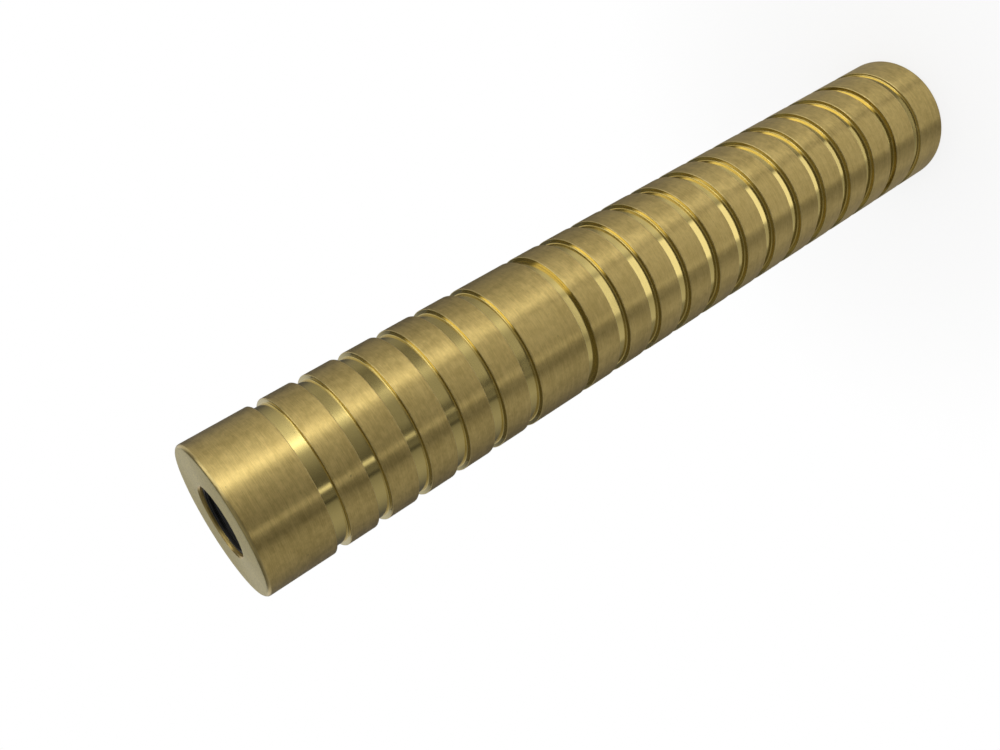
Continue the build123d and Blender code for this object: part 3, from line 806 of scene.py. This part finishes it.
# Head: brass, with six rings, the module's bore from the front and the driver's cavity behind. Its
# front face is a plain faced end with the aperture's chamfered mouth in the middle.
head_low, head_high = (corner.z * 1000 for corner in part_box("head"))
SEAM_WIDTH = 2.0
FRONT_LAND = 11.8
MODULE_BORE_DEPTH = 32.0
MODULE_BORE_R = 6.02
CAVITY_R = 7.8
MOUTH_CHAMFER = 0.25
head_section = [
    (SPIGOT_BORE_R, head_low, 0.15),
    (THREAD_ROOT_R, head_low, 0.3),
    (THREAD_ROOT_R, tube_high - SEAT_DEPTH, 0.05),
    (SEAL_LAND_R, tube_high - SEAT_DEPTH, 0.15),
    (SEAL_LAND_R, tube_high - SEAL_FAR, 0.06),
    (SEAL_FLOOR_R, tube_high - SEAL_FAR, 0.1),
    (SEAL_FLOOR_R, tube_high - SEAL_NEAR, 0.1),
    (SEAL_LAND_R, tube_high - SEAL_NEAR, 0.06),
    (SEAL_LAND_R, tube_high, 0.1),
    (FLOOR_R, tube_high, 0.05, FLOOR),
    (FLOOR_R, tube_high + SEAM_WIDTH, 0.1, FLOOR),
    (BODY_R, tube_high + SEAM_WIDTH, CORNER),
    (BODY_R, head_high, RIM + 0.15),
    (MODULE_BORE_R + MOUTH_CHAMFER, head_high, 0.06),
    (MODULE_BORE_R, head_high - MOUTH_CHAMFER, 0.06),
    (MODULE_BORE_R, head_high - MODULE_BORE_DEPTH, 0.0),
    (CAVITY_R, head_high - MODULE_BORE_DEPTH, 0.0),
    (CAVITY_R, tube_high - SEAL_NEAR, 0.0),
    (SPIGOT_BORE_R, tube_high - SEAL_NEAR, 0.0),
]
head_rings = {
    **BODY_RINGS,
    "First Ring": (head_high - FRONT_LAND - 5 * RING_PITCH - RING_WIDTH) / 1000,
    "Ring Count": 6,
    "After Corner": 11,
}
head_threads = [{**spigot_thread, "Start": (tube_high - HIGH_START + HALF_PITCH) / 1000}]
head_body = turn_piece("head_body", head_section, turned_brass, head_rings, head_threads)
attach(head_body, "head")
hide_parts("head")


# Laser module: aluminium, turned and anodised black, with a fine thread for the focus nut down its
# mouth. A brass ring behind clamps its flange in the head.
def make_black_anodised():
    """Black anodised aluminium, with the tool's lines still showing through."""
    material, graph = new_finish("black anodised")
    spot = graph.add("ShaderNodeTexCoord", {}, {}, "Object")
    x, y, z = graph.axes(spot)
    radius = (x * x + y * y) ** 0.5
    place = graph.add("ShaderNodeCombineXYZ", {}, {0: x * 150.0, 1: y * 150.0, 2: (radius + z) * 7000.0})
    lines = graph.noise(place, 1.0, 2.0)
    bloom = graph.noise(spot, 500.0, 3.0)
    colour = (lines * 0.5 + bloom * 0.5).rise(0.3, 0.8).blend((0.005, 0.005, 0.005), (0.017, 0.016, 0.015))
    bump = graph.add("ShaderNodeBump", {}, {"Strength": 1.0, "Distance": 4e-6, "Height": lines})
    values = {"Base Color": colour, "Roughness": 0.34 + bloom * 0.15, "Specular IOR Level": 0.35}
    close_finish(graph, {**values, "Normal": bump})
    return material


black_anodised = make_black_anodised()
module_low, module_high = (corner.z * 1000 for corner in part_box("module_barrel"))
FOCUS_THREAD = {
    "Ridge Height": 0.00025,
    "Root Width": 0.00034,
    "Crest Width": 0.00006,
    "Pitch": 0.0005,
}
FOCUS_BORE_R = 5.3
FOCUS_BORE_DEPTH = 8.0
FOCUS_START = 3.9
LIGHT_BORE_R = 3.5
LIGHT_BORE_DEPTH = 15.0
MODULE_R = 6.0
SLUG_BORE_R = 5.0
MODULE_FLANGE_R = 7.0
MODULE_FLANGE = 1.2
module_section = [
    (SLUG_BORE_R, module_low, 0.1),
    (MODULE_FLANGE_R, module_low, 0.15),
    (MODULE_FLANGE_R, module_low + MODULE_FLANGE, 0.1),
    (MODULE_R, module_low + MODULE_FLANGE, 0.0),
    (MODULE_R, module_high, 0.2),
    (FOCUS_BORE_R, module_high, 0.12),
    (FOCUS_BORE_R, module_high - FOCUS_BORE_DEPTH, 0.0),
    (LIGHT_BORE_R, module_high - FOCUS_BORE_DEPTH, 0.1),
    (LIGHT_BORE_R, module_high - LIGHT_BORE_DEPTH, 0.1),
    (SLUG_BORE_R, module_high - LIGHT_BORE_DEPTH, 0.0),
]
module_threads = [{
    **FOCUS_THREAD,
    "Root Radius": FOCUS_BORE_R / 1000,
    "Inside": 1.0,
    "Start": (module_high - FOCUS_START) / 1000,
    "Turns": 7.4,
}]
module_body = turn_piece("module_body", module_section, black_anodised, None, module_threads)
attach(module_body, "head")
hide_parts("module_barrel")


# Focus nut: a black threaded ring with a flared bore and two slots for a spanner, turned in the
# module's mouth to set the lens.
def cut_slot(piece, width, depth, top):
    """Mills one slot straight across a piece's upper end."""
    drawing = bmesh.new()
    size = Matrix.Diagonal((0.02, width, depth * 2, 1.0))
    bmesh.ops.create_cube(drawing, size=1.0, matrix=Matrix.Translation((0.0, 0.0, top)) @ size)
    bar = bpy.data.meshes.new("slot")
    drawing.to_mesh(bar)
    drawing.free()
    cutter = bpy.data.objects.new("slot", bar)
    bpy.context.collection.objects.link(cutter)
    slot = piece.modifiers.new("slot", "BOOLEAN")
    slot.solver = "EXACT"
    slot.use_self = True
    slot.object = cutter
    settle(piece)
    bpy.data.objects.remove(cutter)
    milled = bmesh.new()
    milled.from_mesh(piece.data)
    bmesh.ops.dissolve_degenerate(milled, dist=1e-6, edges=milled.edges)
    milled.to_mesh(piece.data)
    milled.free()


nut_low, nut_high = (corner.z * 1000 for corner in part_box("lens_ring"))
NUT_R = 5.0
NUT_BORE_R = 3.6
NUT_MOUTH_R = 4.1
NUT_FLARE = 0.5
NUT_THREAD_LIFT = 0.75
SLOT_WIDTH = 0.0012
SLOT_DEPTH = 0.0008
nut_section = [
    (NUT_BORE_R, nut_low, 0.05),
    (NUT_R, nut_low, 0.1),
    (NUT_R, nut_high, 0.1),
    (NUT_MOUTH_R, nut_high, 0.05),
    (NUT_BORE_R, nut_high - NUT_FLARE, 0.05),
]
nut_thread = {
    **FOCUS_THREAD,
    "Root Radius": NUT_R / 1000,
    "Inside": 0.0,
    "Start": (module_high - FOCUS_START + NUT_THREAD_LIFT) / 1000,
    "Turns": 3.9,
}
nut_body = turn_piece("nut_body", nut_section, black_anodised, None, [nut_thread])
cut_slot(nut_body, SLOT_WIDTH, SLOT_DEPTH, nut_high / 1000)
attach(nut_body, "lens_ring")
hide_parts("lens_ring")


# Lens: polished glass with a faint green coating and a ground edge, held against the focus nut by a
# coil spring. The same glass closes the diode's cap.
def make_coated_glass():
    """Clear glass: polished faces, a fine-ground edge and a few specks of dust."""
    material, graph = new_finish("coated glass")
    spot = graph.add("ShaderNodeTexCoord", {}, {}, "Object")
    facing = graph.add("ShaderNodeNewGeometry", {}, {}, "Normal")
    edge = 1.0 - graph.axes(facing)[2].math("ABSOLUTE").rise(0.2, 0.5)
    dust = graph.noise(spot, 5200.0, 2.0).rise(0.74, 0.8)
    frost = graph.noise(spot, 6000.0, 2.0)
    colour = (edge * 0.5 + dust * 0.3).blend((0.93, 0.99, 0.95), (0.75, 0.78, 0.76))
    values = {"Strength": 0.4, "Distance": 3e-6, "Height": frost * edge + dust}
    bump = graph.add("ShaderNodeBump", {}, values)
    close_finish(graph, {
        "Base Color": colour,
        "Roughness": 0.015 + edge * 0.4 + dust * 0.2,
        "IOR": 1.52,
        "Transmission Weight": 1.0,
        "Normal": bump,
    })
    return material


paint(make_coated_glass(), "lens", "diode_window")
lens_coil, coil_low, coil_high = wind_spring("lens_coil", "lens_spring", 0.4, 1.0, spring_steel)
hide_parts("lens_spring")
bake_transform(lens_coil)


# Laser diode: a gold-plated base, cap and pins round a small crystal, pressed into a turned copper
# slug that carries its heat into the module.
copper = make_turned_metal("copper", (0.56, 0.26, 0.15), (0.8, 0.43, 0.27), 0.24)
diode_gold = make_turned_metal("diode gold", (0.7, 0.5, 0.2), (0.9, 0.7, 0.34), 0.2, 2e-6)
crystal_colours = ((0.05, 0.05, 0.07), (0.16, 0.15, 0.18))
diode_crystal = make_moulding("diode crystal", *crystal_colours, 0.12, 9000.0, 1e-6, specular=0.9)
paint(copper, "diode_holder")
paint(diode_gold, "diode_base", "diode_cap", "diode_pins")
paint(diode_crystal, "diode_chip")


# Driver: a narrow green board upright in an insulating sleeve, with its chip, ferrite inductor and
# two ceramic capacitors, on a round board that takes the cell's plus end through a spring.
CAPACITOR_MIDDLE = 0.00225
CERAMIC_HALF = 0.00112


def make_capacitor_ceramic():
    """Fired brown ceramic between tinned ends."""
    material, graph = new_finish("capacitor ceramic")
    spot = graph.add("ShaderNodeTexCoord", {}, {}, "Object")
    x = graph.axes(spot)[0]
    ends = ((x.math("ABSOLUTE") - CAPACITOR_MIDDLE).math("ABSOLUTE") > CERAMIC_HALF) * 1.0
    grain = graph.noise(spot, 3000.0, 3.0)
    colour = grain.rise(0.3, 0.7).blend((0.3, 0.2, 0.12), (0.42, 0.3, 0.19))
    colour = ends.blend(colour, (0.66, 0.65, 0.63))
    values = {"Strength": 1.0, "Distance": 1.2e-5, "Height": grain * 0.3 + ends}
    bump = graph.add("ShaderNodeBump", {}, values)
    values = {"Base Color": colour, "Metallic": ends, "Roughness": 0.4 + grain * 0.2 - ends * 0.12}
    close_finish(graph, {**values, "Normal": bump})
    return material


def make_sleeve_cloth():
    """Insulating sleeve: pale lacquered glass cloth, woven fine."""
    material, graph = new_finish("sleeve cloth")
    spot = graph.add("ShaderNodeTexCoord", {}, {}, "Object")
    x, y, z = graph.axes(spot)
    turn = y.math("ARCTAN2", x)
    warp = (turn * 140.0).math("SINE")
    weft = (z * 15000.0).math("SINE")
    weave = warp * weft * 0.5 + 0.5
    cloud = graph.noise(spot, 500.0, 3.0)
    colour = (weave * 0.5 + cloud * 0.5).rise(0.2, 0.8).blend((0.5, 0.47, 0.38), (0.68, 0.66, 0.56))
    bump = graph.add("ShaderNodeBump", {}, {"Strength": 1.0, "Distance": 2e-5, "Height": weave})
    close_finish(graph, {"Base Color": colour, "Roughness": 0.4 + cloud * 0.2, "Normal": bump})
    return material


PAD_X = 0.0061
PAD_HEIGHTS = (0.004, 0.008, 0.018)
board_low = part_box("driver_board")[0].z
board_pads = tuple((side * PAD_X, board_low + height) for side in (-1, 1) for height in PAD_HEIGHTS)
ferrite = make_moulding("ferrite", (0.035, 0.034, 0.033), (0.1, 0.098, 0.095), 0.5, 2400.0, 1.4e-5)
lead_red = make_moulding("lead red", (0.45, 0.012, 0.01), (0.6, 0.03, 0.02), 0.4, 2200.0, 3e-6)
lead_black = make_moulding("lead black", (0.01, 0.01, 0.01), (0.025, 0.025, 0.025), 0.42, 2200.0, 3e-6)
paint(make_board("driver board", (), board_pads), "driver_board")
paint(make_board("contact board", ((0.0035, 0.0056), (0.0064, 0.0082)), ()), "contact_board")
paint(switch_black, "driver_chip")
paint(ferrite, "driver_inductor")
paint(make_capacitor_ceramic(), "driver_capacitors")
paint(make_sleeve_cloth(), "driver_sleeve")
paint(lead_red, "red_lead")
paint(lead_black, "black_lead")


# Floor: a plain white sheet under the tail, lit by the studio, that keeps the pointer's soft shadow
# near the tail and shines plain white farther out.
def make_floor_paper():
    """White paper that is lit near the pointer and plain white to the camera farther away."""
    material, graph = new_finish("white paper")
    spot = graph.add("ShaderNodeTexCoord", {}, {}, "Object")
    x, y = graph.axes(spot)[:2]
    distance = (x * x + y * y) ** 0.5
    fibres = graph.noise(spot, 900.0, 3.0).blend((0.86, 0.86, 0.86), (0.9, 0.9, 0.9))
    paper = graph.add("ShaderNodeBsdfDiffuse", {}, {"Color": fibres})
    glow = graph.add("ShaderNodeEmission", {}, {"Color": (1.0, 1.0, 1.0), "Strength": 1.0})
    rays = graph.add("ShaderNodeLightPath")
    seen = rays.output("Is Camera Ray") + rays.output("Is Glossy Ray") + rays.output("Is Transmission Ray")
    share = seen * (0.78 + 0.22 * distance.rise(0.03, 0.09))
    surface = graph.add("ShaderNodeMixShader", {}, {0: share, 1: paper, 2: glow})
    graph.add("ShaderNodeOutputMaterial", {}, {"Surface": surface})
    return material


floor_mesh = bpy.data.meshes.new("floor")
drawing = bmesh.new()
bmesh.ops.create_grid(drawing, x_segments=8, y_segments=8, size=4.0)
drawing.to_mesh(floor_mesh)
drawing.free()
floor = bpy.data.objects.new("floor", floor_mesh)
floor_mesh.materials.append(make_floor_paper())
bpy.context.collection.objects.link(floor)
floor.visible_glossy = False


# Studio: plain white walls, and soft-edged cards that only metal mirrors: a narrow bright window, a pale
# table and dim grey cards. Their places and levels began as another program's fit to the colours of the
# photograph, and were then rounded and changed.
def light_studio():
    """The room round the pointer: white, but for the soft cards that metal mirrors."""
    world = bpy.data.worlds.new("studio")
    world.use_nodes = True
    world.node_tree.nodes.clear()
    graph = Graph(world.node_tree)
    way = graph.add("ShaderNodeTexCoord", {}, {}, "Generated")
    x, y, z = graph.axes(way)
    turn = x.math("ARCTAN2", y * -1.0) * math.degrees(1.0)
    height = z.math("ARCSINE") * math.degrees(1.0)

    def hang(level, turn_middle, turn_half, turn_edge, height_middle, height_half, height_edge):
        """One card: its brightness, then its middle, half size and soft edge, round and up."""
        across = ((turn - turn_middle + 180.0) % 360.0 - 180.0).math("ABSOLUTE")
        upwards = (height - height_middle).math("ABSOLUTE")
        outside = across.rise(turn_half - turn_edge, turn_half + turn_edge)
        beyond = upwards.rise(height_half - height_edge, height_half + height_edge)
        return level * (1.0 - outside) * (1.0 - beyond)

    window = hang(2.8, 40, 5, 15, -5, 10, 5) + hang(1.5, 55, 25, 50, 0, 15, 5)
    sill = hang(0.3, 10, 30, 10, -25, 5, 5) + hang(0.4, 40, 10, 15, -30, 10, 10)
    table = hang(1.1, -10, 35, 5, -40, 8, 2) + hang(0.5, 65, 30, 20, -35, 10, 5)
    left = hang(0.25, -90, 30, 30, -5, 30, 10) + hang(0.3, -70, 25, 5, -40, 10, 5)
    post = hang(1.0, -35, 3, 3, -10, 10, 5) - hang(0.15, -55, 3, 3, -10, 20, 10)
    right = hang(0.15, 115, 20, 15, -5, 30, 10)
    ground = hang(0.3, 20, 60, 15, -70, 15, 10) + hang(0.25, 180, 90, 30, -55, 15, 10)
    high = hang(1.7, 70, 40, 10, 40, 10, 5) + hang(0.5, 170, 60, 25, 10, 10, 5)
    ceiling = hang(0.15, 0, 180, 10, 75, 20, 10)
    dim_room = 0.1
    level = dim_room + window + sill + table + left + post + right + ground + high + ceiling
    mirrored = graph.add("ShaderNodeLightPath", {}, {}, "Is Glossy Ray")
    strength = level * mirrored + (1.0 - mirrored)
    sky = graph.add("ShaderNodeBackground", {}, {"Color": (1.0, 1.0, 1.0), "Strength": strength})
    graph.add("ShaderNodeOutputWorld", {}, {"Surface": sky})
    bpy.context.scene.world = world


light_studio()
bpy.context.scene.view_settings.view_transform = "Standard"
